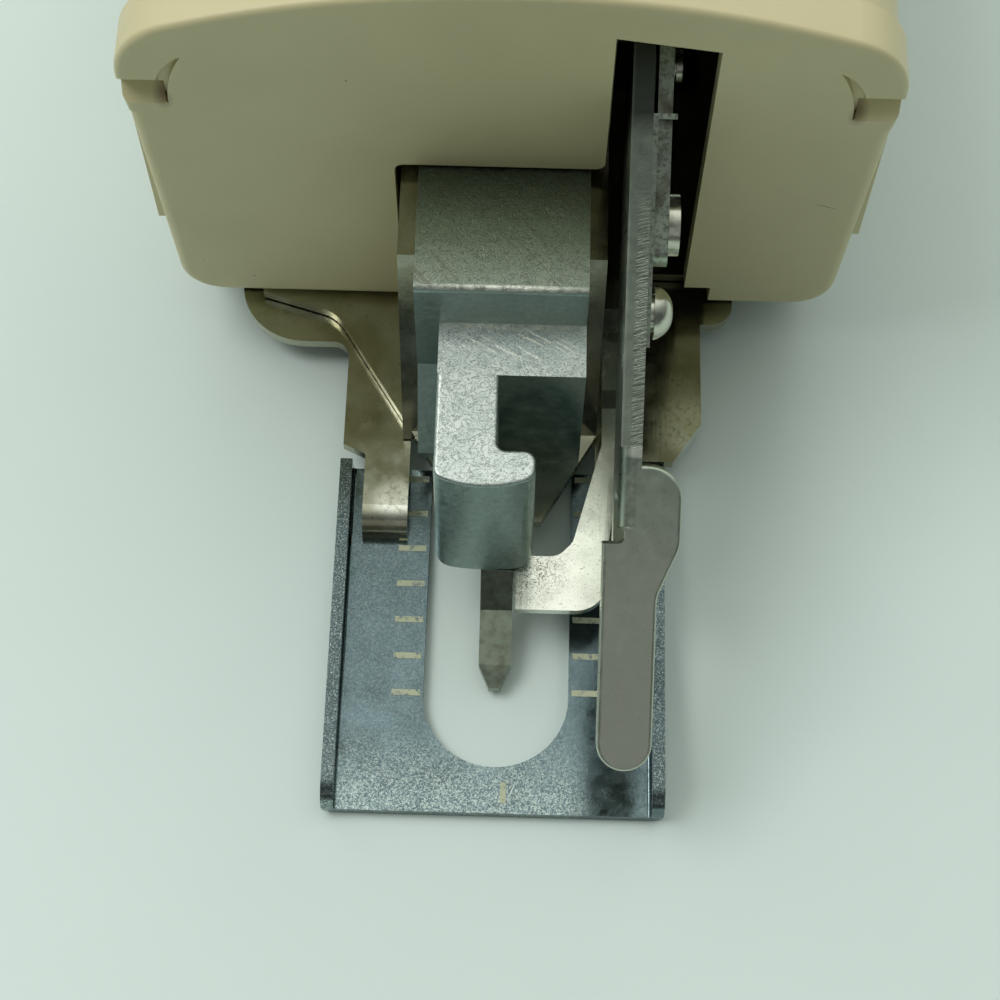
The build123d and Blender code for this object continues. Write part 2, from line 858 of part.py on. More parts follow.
def clamp_carrier():
    flange_gap = clamp_rear + side_clearance
    plan = outline_of(
        (-carrier_tail_half, carrier_tail_rear),
        (-carrier_tail_half, carrier_wide_rear),
        (carrier_left, carrier_wide_rear),
        (carrier_left, carrier_left_front),
        (leg_left, carrier_left_front),
        (leg_left, flange_gap + leg_step_rise),
        (-leg_outer, flange_gap),
        (-leg_outer, leg_bend),
        (-leg_inner, leg_bend),
        (-leg_inner, leg_bridge_front),
        (leg_inner, leg_bridge_front),
        (leg_inner, leg_bend),
        (leg_outer, leg_bend),
        (leg_outer, flange_gap),
        (leg_right_end, flange_gap),
        (leg_right, leg_right_chamfer),
        (leg_right, carrier_right_front),
        (carrier_right, carrier_right_front),
        (carrier_right, carrier_wide_rear),
        (carrier_tail_half, carrier_wide_rear),
        (carrier_tail_half, carrier_tail_rear),
    )
    plan = rounded(plan, (carrier_left, carrier_left_front), carrier_left_radius)
    plan = rounded(plan, (carrier_right, carrier_right_front), carrier_right_radius)
    plan = rounded(plan, (leg_left, carrier_left_front), leg_root_radius)
    plan -= window(-window_half, window_half, window_front, window_rear)
    plate = flat(plan, carrier_bottom, carrier_sheet)
    return plate + carrier_hook(-leg_outer, -leg_inner) + carrier_hook(leg_inner, leg_outer)


def cloth_clamp():
    """Blued channel with a U slot and two upturned flanges, rounded down at the front."""
    inner_half = clamp_half_width - clamp_sheet
    length = clamp_rear - clamp_front
    section = window(-clamp_half_width, clamp_half_width, 0, clamp_flange_height)
    section = fillet(section.vertices().group_by(Axis.Y)[0], clamp_bend_radius)
    trough = window(-inner_half, inner_half, clamp_sheet, clamp_flange_height + clamp_sheet)
    section -= fillet(trough.vertices().group_by(Axis.Y)[0], clamp_inner_radius)
    clamp = front(section, clamp_front, length)
    arc_centre = clamp_slot_front + clamp_slot_half
    slot = window(-clamp_slot_half, clamp_slot_half, arc_centre, clamp_rear)
    slot += Pos(0, arc_centre) * Circle(clamp_slot_half)
    clamp -= flat(slot, 0, clamp_sheet)
    corner_y = clamp_front + clamp_flange_corner
    corner_z = clamp_flange_height - clamp_flange_corner
    corner = window(clamp_front, corner_y, corner_z, clamp_flange_height)
    corner -= Pos(corner_y, corner_z) * Circle(clamp_flange_corner)
    return clamp - side(corner, -clamp_half_width, 2 * clamp_half_width)


# Fork arm group, drawn level


def arm_web():
    """Side outline of the arm: pivot boss, bar and the fork's lower prong."""
    bar = outline_of(
        (web_front, arm_top),
        (web_front, blade_bottom),
        (gap_root, blade_bottom),
        (gap_root, gap_bottom),
        (prong_end, gap_bottom),
        (prong_end, prong_bottom),
        (arm_taper_start, prong_bottom),
        (0, arm_heel),
        (0, arm_top),
    )
    bar = rounded(bar, (gap_root, gap_bottom), gap_radius)
    bar = rounded(bar, (prong_end, gap_bottom), prong_radius)
    bar = rounded(bar, (prong_end, prong_bottom), prong_radius)
    return side(bar + Circle(arm_boss_radius), arm_left, arm_sheet)


def arm_blade():
    """Flat upper finger of the fork, with its heel and the bend relief at its root."""
    end_radius = blade_width / 2
    end_centre = blade_end + end_radius
    relief_front = web_front - relief_width
    plan = outline_of(
        (arm_left, flange_start),
        (arm_left, web_front),
        (relief_right, web_front),
        (relief_right, relief_front),
        (blade_left, relief_front),
        (blade_left, end_centre),
        (blade_right, end_centre),
        (blade_right, heel_front),
        (heel_right, heel_front + heel_taper),
        (heel_right, heel_rear),
        (arm_right, heel_rear),
        (arm_right, flange_start),
    )
    plan = rounded(plan, (relief_right, web_front), relief_radius)
    plan = rounded(plan, (relief_right, relief_front), relief_radius)
    plan = rounded(plan, (heel_right, heel_rear), heel_radius)
    plan = rounded(plan, (heel_right, heel_front + heel_taper), heel_radius)
    plan = rounded(plan, (blade_right, heel_front), heel_radius)
    plan += Pos(blade_left + end_radius, end_centre) * Circle(end_radius)
    blade = flat(plan, blade_bottom, arm_sheet)
    free_edges = [
        edge
        for edge in blade.faces().sort_by(Axis.Z)[-1].edges()
        if edge.center().X > arm_right or edge.center().Y < relief_front - relief_width
    ]
    return fillet(free_edges, blade_edge_radius)


def bend_corner():
    """What the bend takes off the arm's upper left edge above the blade's root."""
    corner = window(arm_left, arm_left + bend_radius, arm_top - bend_radius, arm_top)
    corner -= Pos(arm_left + bend_radius, arm_top - bend_radius) * Circle(bend_radius)
    return front(corner, web_front, flange_start - web_front)


def fork_arm():
    arm = arm_web() + arm_blade() - bend_corner()
    arm -= rod_x(pivot_radius + running_clearance, arm_left, arm_right, 0, 0)
    arm -= rod_x(arm_rivet_radius, arm_left, arm_right, *arm_rivet_at)
    arm -= rod_x(stud_radius, arm_left, arm_right, *stud_at)
    return arm_place(arm)


def pawl_spring():
    """Leaf between the arm and the strap, its rear end curled out over the strap."""
    outline = outline_of(
        (leaf_front, leaf_bottom),
        (leaf_front, leaf_top - leaf_sheet),
        (leaf_rear, leaf_tab_top),
        (leaf_rear, strap_bottom),
    )
    leaf = side(outline, arm_right, leaf_sheet)
    tab = window(leaf_rear - leaf_sheet, leaf_rear, strap_top + side_clearance, leaf_tab_top)
    leaf += side(tab, arm_right, leaf_sheet + leaf_tab_reach)
    leaf -= rod_x(arm_rivet_radius, arm_right, leaf_right, *arm_rivet_at)
    leaf -= rod_x(stud_radius, arm_right, leaf_right, *stud_at)
    return arm_place(leaf)


def pawl_pin_place():
    """The pawl pin's place on the level arm."""
    cosine = math.cos(math.radians(arm_slope))
    sine = math.sin(math.radians(arm_slope))
    along = pawl_pin_back * cosine - pawl_pin_drop * sine
    above = -pawl_pin_back * sine - pawl_pin_drop * cosine
    return along, above


def pawl_lever():
    """Strap on the arm's right face: a bar to the rivet, a boss on the pivot and a tail to the pawl pin."""
    along, above = pawl_pin_place()
    bar = window(strap_front, 0, strap_bottom, strap_top)
    bar = fillet(bar.vertices().group_by(Axis.X)[0], strap_end_radius)
    tail_length = math.hypot(along, above)
    tail_turn = math.degrees(math.atan2(above, along))
    tail = Rot(0, 0, tail_turn) * SlotCenterToCenter(tail_length, strap_tail_width)
    tail = Pos(along / 2, above / 2) * tail
    strap = side(bar + Circle(strap_boss_radius) + tail, leaf_right, strap_sheet)
    strap -= rod_x(pivot_radius + running_clearance, leaf_right, strap_right, 0, 0)
    strap -= rod_x(arm_rivet_radius, leaf_right, strap_right, *arm_rivet_at)
    strap -= rod_x(pawl_pin_radius, leaf_right, strap_right, along, above)
    return arm_place(strap)


def arm_rivet():
    rivet = rod_x(arm_rivet_radius, arm_left, strap_right, *arm_rivet_at)
    rivet += rod_x(arm_rivet_head, strap_right, strap_right + arm_rivet_head_height, *arm_rivet_at)
    return arm_place(rivet)


def spring_stud():
    """Domed stud that holds the leaf's front end."""
    neck_end = leaf_right + stud_neck_height
    stud = rod_x(stud_radius, arm_left, leaf_right, *stud_at)
    stud += rod_x(stud_neck_radius, leaf_right, neck_end, *stud_at)
    shoulder = (stud_dome_height * math.sqrt(0.5), stud_dome_radius * math.sqrt(0.5))
    half_section = make_face(
        [
            Line((0, 0), (stud_dome_height, 0)),
            ThreePointArc((stud_dome_height, 0), shoulder, (0, stud_dome_radius)),
            Line((0, stud_dome_radius), (0, 0)),
        ]
    )
    dome = Pos(neck_end, *stud_at) * revolve(half_section, axis=Axis.X)
    return arm_place(stud + dome)


def pawl_pin():
    end = pawl_right + side_clearance / 2
    pin = rod_x(pawl_pin_radius, leaf_right, end, pawl_y, pawl_z)
    return pin + rod_x(pawl_pin_head, end, end + pawl_pin_head_height, pawl_y, pawl_z)


def feed_pawl():
    """Level pawl beside the ratchet, with a tooth at its rear end."""
    rear = pawl_y + pawl_reach
    half = pawl_depth / 2
    bar = window(pawl_y, rear, pawl_z - half, pawl_z + half) + Pos(pawl_y, pawl_z) * Circle(half)
    pawl = side(bar, pawl_left, pawl_sheet)
    tooth = outline_of(
        (pawl_left, rear - pawl_tooth), (pawl_left, rear), (ratchet_tip_radius + side_clearance, rear)
    )
    pawl += flat(tooth, pawl_z - half, pawl_depth)
    return pawl - rod_x(pawl_pin_radius + running_clearance, pawl_left, pawl_right, pawl_y, pawl_z)


# Width lever


def width_lever():
    """Stitch-width lever on top of the cover, with a round finger grip."""
    tip = lever_y + lever_reach
    plan = window(-lever_width / 2, lever_width / 2, lever_y, tip)
    plan += Pos(0, lever_y) * Circle(lever_boss_radius)
    plan += Pos(0, tip) * Circle(lever_width / 2)
    lever = flat(plan, lever_bottom, lever_sheet)
    grip_bottom = lever_bottom + lever_sheet
    lever += rod_z(lever_grip_radius, grip_bottom, grip_bottom + lever_grip_height, 0, tip)
    return lever - rod_z(lever_screw_radius + running_clearance, 0, through, 0, lever_y)


def lever_screw():
    seat = lever_bottom + lever_sheet + side_clearance / 2
    screw = rod_z(lever_screw_radius, body_crown - lever_screw_depth, seat, 0, lever_y)
    return screw + rod_z(lever_screw_head, seat, seat + lever_screw_head_height, 0, lever_y)


nodes = {
    "cover": cover(),
    "cover_screws": cover_screws(),
    "frame_plate": frame_plate(),
    "attaching_foot": attaching_foot(),
    "foot_rivets": foot_rivets(),
    "presser_toe": presser_toe(),
    "toe_rivet": toe_rivet(),
    "pivot_pin": pivot_pin(),
    "pivot_washer": pivot_washer(),
    "right_rail": guide_rail(),
    "left_rail": mirror(guide_rail(), about=Plane.YZ),
    "door_pin": door_pin(),
    "template_door": template_door(),
    "spindle_bridge": spindle_bridge(),
    "spindle": spindle(),
    "ratchet_wheel": ratchet_wheel(),
    "bite_cam": bite_cam(),
    "tracking_pinion": tracking_pinion(),
    "advance_knob": advance_knob(),
    "cross_slide": cross_slide(),
    "bite_yoke": bite_yoke(),
    "clamp_carrier": clamp_carrier(),
    "cloth_clamp": cloth_clamp(),
    "fork_arm": fork_arm(),
    "pawl_lever": pawl_lever(),
    "pawl_spring": pawl_spring(),
    "arm_rivet": arm_rivet(),
    "spring_stud": spring_stud(),
    "pawl_pin": pawl_pin(),
    "feed_pawl": feed_pawl(),
    "width_lever": width_lever(),
    "lever_screw": lever_screw(),
}

# The part's origin is below the middle of the whole object, on the bed.
for name, shape in nodes.items():
    export_step(Pos(0, -middle_y, 0) * shape, f"parts/{name}.step")
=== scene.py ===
"""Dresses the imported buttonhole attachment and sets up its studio."""

import json
import math

import bmesh
import bpy
from mathutils import Matrix, Vector


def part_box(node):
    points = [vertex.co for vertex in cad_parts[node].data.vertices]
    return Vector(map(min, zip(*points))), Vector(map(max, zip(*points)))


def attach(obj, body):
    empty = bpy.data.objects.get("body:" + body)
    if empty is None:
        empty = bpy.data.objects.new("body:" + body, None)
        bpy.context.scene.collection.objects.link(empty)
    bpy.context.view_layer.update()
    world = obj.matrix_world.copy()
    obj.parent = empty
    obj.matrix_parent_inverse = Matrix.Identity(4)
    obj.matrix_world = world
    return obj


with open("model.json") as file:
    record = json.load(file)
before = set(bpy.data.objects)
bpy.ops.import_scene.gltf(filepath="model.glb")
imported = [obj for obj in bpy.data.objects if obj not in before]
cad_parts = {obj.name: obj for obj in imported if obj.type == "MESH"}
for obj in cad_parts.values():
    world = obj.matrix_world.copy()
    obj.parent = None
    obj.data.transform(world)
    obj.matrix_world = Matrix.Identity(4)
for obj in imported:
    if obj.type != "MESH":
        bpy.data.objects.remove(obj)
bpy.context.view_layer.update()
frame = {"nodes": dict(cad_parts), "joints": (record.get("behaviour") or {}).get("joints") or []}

bl_info = {
    "name": "Buttonhole Attachment",
    "version": (1, 0, 0),
    "blender": (4, 5, 0),
    "location": "View3D > Sidebar > Buttonhole",
    "description": "Finishes the buttonhole attachment's pieces and lights them in a studio",
    "category": "Object",
}

MM = 0.001

# The cover's front face, the cloth clamp and the fork's pivot give the places that details are set from.
COVER_LOW, COVER_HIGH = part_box("cover")
FRONT_Y = COVER_LOW[1]
BEHIND_WALL = (FRONT_Y + 1.6 * MM, FRONT_Y + 2.6 * MM)
CASE_MIDDLE = (Vector(COVER_LOW) + Vector(COVER_HIGH)) / 2
CLAMP_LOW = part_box("cloth_clamp")[0]
CLAMP_FRONT = CLAMP_LOW[1]
CLAMP_TOP = CLAMP_LOW[2] + 1.0 * MM
PIVOT_JOINT = next(joint for joint in frame["joints"] if joint["name"] == "fork_swing")
PIVOT = Vector(PIVOT_JOINT["pos_m"])
ARM_SLOPE = math.radians(31.0)

# Most values of a noise lie in this span.
NOISE_SPAN = (0.3, 0.7)

# The Mix node's colour sockets share their names with others, so they are taken by number.
MIX_SHARE = 0
MIX_FIRST = 6
MIX_SECOND = 7
MIX_RESULT = 2


def mm(*lengths):
    """Lengths in millimetres, as metres."""
    return tuple(length * MM for length in lengths)


def at(right, behind, above):
    """A place in millimetres: right of the middle, behind the cover's front and above the table."""
    return (right * MM, FRONT_Y + behind * MM, above * MM)


def scaled(colour, share):
    """A colour made darker or lighter."""
    return [share * part for part in colour]


def colour_property(name, description, default):
    return bpy.props.FloatVectorProperty(
        name=name, description=description, subtype="COLOR", size=3, min=0.0, max=1.0, default=default
    )


def length_property(name, description, default):
    return bpy.props.FloatProperty(name=name, description=description, unit="LENGTH", default=default)


def place_property(name, description, default):
    return bpy.props.FloatVectorProperty(
        name=name, description=description, subtype="TRANSLATION", unit="LENGTH", default=default
    )


def power_property(name, description, default):
    return bpy.props.FloatProperty(name=name, description=description, unit="POWER", default=default, min=0.0)


def angle_property(name, description, degrees):
    return bpy.props.FloatProperty(
        name=name, description=description, subtype="ANGLE", default=math.radians(degrees)
    )


class StudioSettings(bpy.types.PropertyGroup):
    """Floor, lamps and camera."""

    floor_colour: colour_property("Floor", "Colour of the table top", (0.72, 0.83, 0.78))
    floor_reach: length_property("Reach", "From the middle of the table to its edge", 6.0)
    lamp_size: length_property("Lamp size", "Across a lamp's disk", 0.5)
    lamp_aim: place_property("Aim", "Where the lamps point", at(0, -10, 0))
    key_power: power_property("Key", "Power of the overhead lamp", 2.6)
    key_place: place_property("Key place", "Where the overhead lamp hangs", at(-460, 80, 740))
    fill_power: power_property("Fill", "Power of the front lamp", 0.15)
    fill_place: place_property("Fill place", "Where the front lamp hangs", at(100, -700, 500))
    sky_strength: bpy.props.FloatProperty(
        name="Sky", description="Strength of the room's soft light", default=1.14, min=0.0
    )
    sky_lean: bpy.props.FloatVectorProperty(
        name="Sky lean", description="Where the room's soft light is brightest", subtype="XYZ",
        default=(0.0, 0.64, 0.55),
    )
    sky_dim: colour_property("Sky dim", "The room away from the lean", (0.08, 0.09, 0.085))
    sky_half: colour_property("Sky half", "The room part way to the lean", (0.25, 0.275, 0.262))
    sky_pale: colour_property("Sky pale", "The room at the lean", (0.96, 1.0, 0.96))
    sky_half_stop: bpy.props.FloatProperty(
        name="Half stop", description="Where the half tone stands", subtype="FACTOR", default=0.3
    )
    sky_pale_stop: bpy.props.FloatProperty(
        name="Pale stop", description="Where the pale tone starts", subtype="FACTOR", default=0.7
    )
    camera_place: place_property("Camera", "Where the camera stands", at(1.029, -91.913, 167.469))
    camera_tilt: angle_property("Tilt", "Camera tilt from straight down", 24.182)
    camera_turn: angle_property("Turn", "Camera turn about the vertical", 0.875)
    camera_roll: angle_property("Roll", "Camera roll about its own axis", 0.744)
    lens: bpy.props.FloatProperty(
        name="Lens", description="Focal length", subtype="DISTANCE_CAMERA", default=77.805
    )
    sensor: bpy.props.FloatProperty(
        name="Sensor", description="Width of the camera's sensor", subtype="DISTANCE_CAMERA", default=36.0
    )
    nearest: length_property("Nearest", "Nothing nearer to the camera is drawn", 10 * MM)


class FinishSettings(bpy.types.PropertyGroup):
    """Colours of the attachment's finishes."""

    cover_colour: colour_property("Cover", "Moulded cream cover", (0.69, 0.62, 0.36))
    # Colour of the cover's dust specks and hair scratch, and of the painted shade in its recesses and inside
    # the case.
    cover_marks_and_shade: colour_property("Cover stain", "Grime in the cover's recesses", (0.2, 0.13, 0.06))
    blued_colour: colour_property("Blued steel", "Blued cloth clamp", (0.15, 0.215, 0.235))
    worn_colour: colour_property("Worn blueing", "Rubbed and freckled blueing", (0.6, 0.7, 0.64))
    nickel_colour: colour_property("Nickel", "Plated carrier and frame", (0.6, 0.61, 0.51))
    tarnish_colour: colour_property("Tarnish", "Brown tarnish on the plating", (0.31, 0.3, 0.2))
    # Also the colour of painted highlights on the carrier, the foot and the fork arm.
    bright_and_highlight_colour: colour_property("Bright nickel", "Fresh plating on the presser toe", (0.86, 0.87, 0.76))
    dull_colour: colour_property("Dull nickel", "Worn plating on the toe", (0.27, 0.31, 0.24))
    zinc_colour: colour_property("Zinc", "Die-cast attaching foot", (0.68, 0.73, 0.69))
    # Also the darker zinc painted on upright faces and the shelf as shade, and the colour of the skin's
    # blotches.
    zinc_blotch_and_shade_colour: colour_property("Zinc walls", "Duller upright faces of the casting", (0.36, 0.45, 0.42))
    zinc_pit_colour: colour_property("Zinc pits", "Dark grain of the casting", (0.26, 0.3, 0.27))
    # Painted shade in the foot's channel.
    zinc_shade_colour: colour_property("Zinc shade", "Dark teal film in the channel", (0.06, 0.12, 0.115))
    # Also deepened as painted shade on the foot's top near and under the cover.
    patina_and_shade_colour: colour_property("Patina", "Dark patina on the foot's top", (0.17, 0.21, 0.145))
    steel_colour: colour_property("Steel", "Stamped sheet steel", (0.43, 0.49, 0.4))
    # Also the colour of the painted shade inside the case and on the frame's ears.
    oil_and_shade_colour: colour_property("Oil film", "Dark oily steel inside the case", (0.12, 0.11, 0.08))
    mark_colour: colour_property("Marks", "Paint in the clamp's marks", (0.52, 0.55, 0.37))
    knob_colour: colour_property("Knob", "Moulded advance knob", (0.045, 0.04, 0.036))


class MarkSettings(bpy.types.PropertyGroup):
    """Marks on the cloth clamp: a row along each side of its slot and a tick at its front."""

    rows: bpy.props.IntProperty(name="Rows", description="Marks on each side of the slot", default=7, min=1)
    pitch: length_property("Pitch", "Distance from mark to mark", 3.175 * MM)
    first_row: length_property("First row", "From the clamp's front edge to the first mark", 9.9 * MM)
    right_shift: length_property("Right shift", "How far back the right row stands", 0.3 * MM)
    length: length_property("Length", "Length of a mark", 2.3 * MM)
    width: length_property("Width", "Width of a mark", 0.52 * MM)
    thickness: length_property("Thickness", "Thickness of the paint", 0.03 * MM)
    rounding: length_property("Rounding", "Rounded edge of a mark", 0.012 * MM)
    slot_gap: length_property("Slot gap", "From the slot's edge to a mark", 0.25 * MM)
    slot_half: length_property("Slot half width", "Half the width of the slot", 5.9 * MM)
    tick_right: length_property("Tick right", "From the clamp's middle to the tick", 0.8 * MM)
    tick_back: length_property("Tick back", "From the clamp's front edge to the tick", 1.7 * MM)
    tick_width: length_property("Tick width", "Width of the tick", 0.45 * MM)
    tick_length: length_property("Tick length", "Length of the tick", 1.7 * MM)


class Finish:
    """One procedural material on Object coordinates, built node by node."""

    def __init__(self, name, metallic=0.0, roughness=0.5):
        self.material = bpy.data.materials.new(name)
        self.material.use_nodes = True
        self.nodes = self.material.node_tree.nodes
        self.links = self.material.node_tree.links
        self.shader = self.nodes["Principled BSDF"]
        self.shader.inputs["Metallic"].default_value = metallic
        self.shader.inputs["Roughness"].default_value = roughness
        self.object_coordinates = self.nodes.new("ShaderNodeTexCoord").outputs["Object"]

    def feed(self, socket, value):
        """Links a node output to a socket, or sets the socket's own value."""
        if isinstance(value, bpy.types.NodeSocket):
            self.links.new(value, socket)
        else:
            socket.default_value = value

    def place(self, centre=(0, 0, 0), turn=(0, 0, 0), stretch=(1, 1, 1)):
        """Object coordinates seen from a turned and stretched frame at a centre."""
        mapping = self.nodes.new("ShaderNodeMapping")
        mapping.vector_type = "TEXTURE"
        self.links.new(self.object_coordinates, mapping.inputs["Vector"])
        mapping.inputs["Location"].default_value = centre
        mapping.inputs["Rotation"].default_value = turn
        mapping.inputs["Scale"].default_value = stretch
        return mapping.outputs["Vector"]

    def noise(self, grain, vector=None, detail=3.0, roughness=0.55, distortion=0.0):
        """Cloudy noise with features about one grain wide."""
        node = self.nodes.new("ShaderNodeTexNoise")
        self.links.new(vector or self.object_coordinates, node.inputs["Vector"])
        node.inputs["Scale"].default_value = 1.0 / grain
        node.inputs["Detail"].default_value = detail
        node.inputs["Roughness"].default_value = roughness
        node.inputs["Distortion"].default_value = distortion
        return node.outputs["Fac"]

    def cells(self, grain):
        """Distance to the nearest of scattered points about one grain apart."""
        node = self.nodes.new("ShaderNodeTexVoronoi")
        self.links.new(self.object_coordinates, node.inputs["Vector"])
        node.inputs["Scale"].default_value = 1.0 / grain
        return node.outputs["Distance"]

    def spread(self, value, low, high, new_low=0.0, new_high=1.0):
        """Maps a range to another, held at its ends."""
        node = self.nodes.new("ShaderNodeMapRange")
        self.links.new(value, node.inputs["Value"])
        node.inputs["From Min"].default_value = low
        node.inputs["From Max"].default_value = high
        node.inputs["To Min"].default_value = new_low
        node.inputs["To Max"].default_value = new_high
        return node.outputs["Result"]

    def combine(self, operation, first, second):
        node = self.nodes.new("ShaderNodeMath")
        node.operation = operation
        self.feed(node.inputs[0], first)
        self.feed(node.inputs[1], second)
        return node.outputs[0]

    def times(self, first, *others):
        """The product of masks and numbers."""
        for other in others:
            first = self.combine("MULTIPLY", first, other)
        return first

    def either(self, first, second):
        """The stronger of two masks."""
        return self.combine("MAXIMUM", first, second)

    def apart(self, value, level):
        """How far a value is from a level."""
        return self.combine("ABSOLUTE", self.combine("SUBTRACT", value, level), 0.0)

    def mix(self, share, first, second):
        """Mixes two colours."""
        node = self.nodes.new("ShaderNodeMix")
        node.data_type = "RGBA"
        self.links.new(share, node.inputs[MIX_SHARE])
        for number, value in ((MIX_FIRST, first), (MIX_SECOND, second)):
            colour = value if isinstance(value, bpy.types.NodeSocket) else (*value, 1.0)
            self.feed(node.inputs[number], colour)
        return node.outputs[MIX_RESULT]

    def patch(self, centre, half_size, turn=(0, 0, 0), softness=0.5):
        """One inside an ellipsoid, fading to nothing at its edge."""
        node = self.nodes.new("ShaderNodeVectorMath")
        node.operation = "LENGTH"
        self.links.new(self.place(centre, turn, half_size), node.inputs[0])
        return self.spread(node.outputs["Value"], 1.0 - softness, 1.0, 1.0, 0.0)

    def axis(self, vector, name):
        """One coordinate of a vector."""
        node = self.nodes.new("ShaderNodeSeparateXYZ")
        self.links.new(vector, node.inputs[0])
        return node.outputs[name]

    def span(self, name, low, high, new_low=0.0, new_high=1.0):
        """Maps a range of one object coordinate to another range, held at its ends."""
        return self.spread(self.axis(self.object_coordinates, name), low, high, new_low, new_high)

    def upward(self, low=0.5, high=0.8):
        """One on faces that look up, nothing on upright ones."""
        normal = self.nodes.new("ShaderNodeNewGeometry").outputs["True Normal"]
        return self.spread(self.axis(normal, "Z"), low, high)

    def shade_inside_case(self):
        """One on faces behind the cover's front that look towards the middle of the case, where painted shade
        goes.
        """
        normal = self.nodes.new("ShaderNodeNewGeometry").outputs["True Normal"]
        node = self.nodes.new("ShaderNodeVectorMath")
        node.operation = "DOT_PRODUCT"
        self.links.new(normal, node.inputs[0])
        self.links.new(self.place(CASE_MIDDLE), node.inputs[1])
        inward = self.spread(node.outputs["Value"], -2.0 * MM, 0.0, 1.0, 0.0)
        return self.times(inward, self.span("Y", *BEHIND_WALL))

    def colour(self, value):
        self.feed(self.shader.inputs["Base Color"], value)

    def roughen(self, value):
        self.feed(self.shader.inputs["Roughness"], value)

    def polish(self, grain, smoothest, roughest):
        """Roughness that wanders between two values over a grain."""
        self.roughen(self.spread(self.noise(grain), *NOISE_SPAN, smoothest, roughest))

    def bump(self, height, depth, strength):
        """Raises the surface by a height map of a given depth."""
        node = self.nodes.new("ShaderNodeBump")
        node.inputs["Strength"].default_value = strength
        node.inputs["Distance"].default_value = depth
        self.links.new(height, node.inputs["Height"])
        self.links.new(node.outputs["Normal"], self.shader.inputs["Normal"])


def dress(finish, *nodes):
    """Gives CAD nodes a finish."""
    for name in nodes:
        materials = frame["nodes"][name].data.materials
        materials.clear()
        materials.append(finish.material)


def add_object(shape, name, finish):
    """Turns a bmesh into an object with a finish."""
    mesh = bpy.data.meshes.new(name)
    shape.to_mesh(mesh)
    shape.free()
    mesh.materials.append(finish.material)
    piece = bpy.data.objects.new(name, mesh)
    bpy.context.scene.collection.objects.link(piece)
    return piece


def keep_mesh(shape, name, finish, body):
    """Turns a bmesh into a finished piece that rides on a body."""
    piece = add_object(shape, name, finish)
    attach(piece, body)


# Finishes


def cover_finish(settings):
    """Satin cream moulding with faint clouding, dust specks, painted shade in the shoulder recesses and
    inside the case, and a hair scratch.
    """
    finish = Finish("cover_cream")
    clouds = finish.spread(finish.noise(14 * MM), 0.35, 0.65)
    base = finish.mix(clouds, settings.cover_colour, scaled(settings.cover_colour, 0.93))
    specks = finish.spread(finish.cells(2.6 * MM), 0.02, 0.05, 1.0, 0.0)
    kept = finish.spread(finish.noise(5 * MM), 0.58, 0.62)
    marks = finish.times(specks, kept)
    # Painted shade: the shoulder recesses are darkened with the marks colour, alongside the dust specks and
    # the scratch.
    for side in (-1, 1):
        recess_shade = finish.patch(at(side * 25.7, 0.6, 33.6), mm(0.9, 1.6, 1.5), softness=0.8)
        marks = finish.either(marks, finish.times(recess_shade, 0.75))
    slant = (0, math.radians(21), 0)
    scratch = finish.patch(at(25.1, 0, 21.1), mm(1.2, 1.0, 0.06), slant, softness=0.6)
    marks = finish.either(marks, finish.times(scratch, 0.85))
    outside = finish.mix(marks, base, settings.cover_marks_and_shade)
    # Painted shade on the faces inside the case.
    finish.colour(finish.mix(finish.shade_inside_case(), outside, scaled(settings.cover_marks_and_shade, 0.3)))
    finish.polish(3 * MM, smoothest=0.36, roughest=0.5)
    finish.bump(finish.noise(0.35 * MM), depth=0.006 * MM, strength=0.5)
    return finish


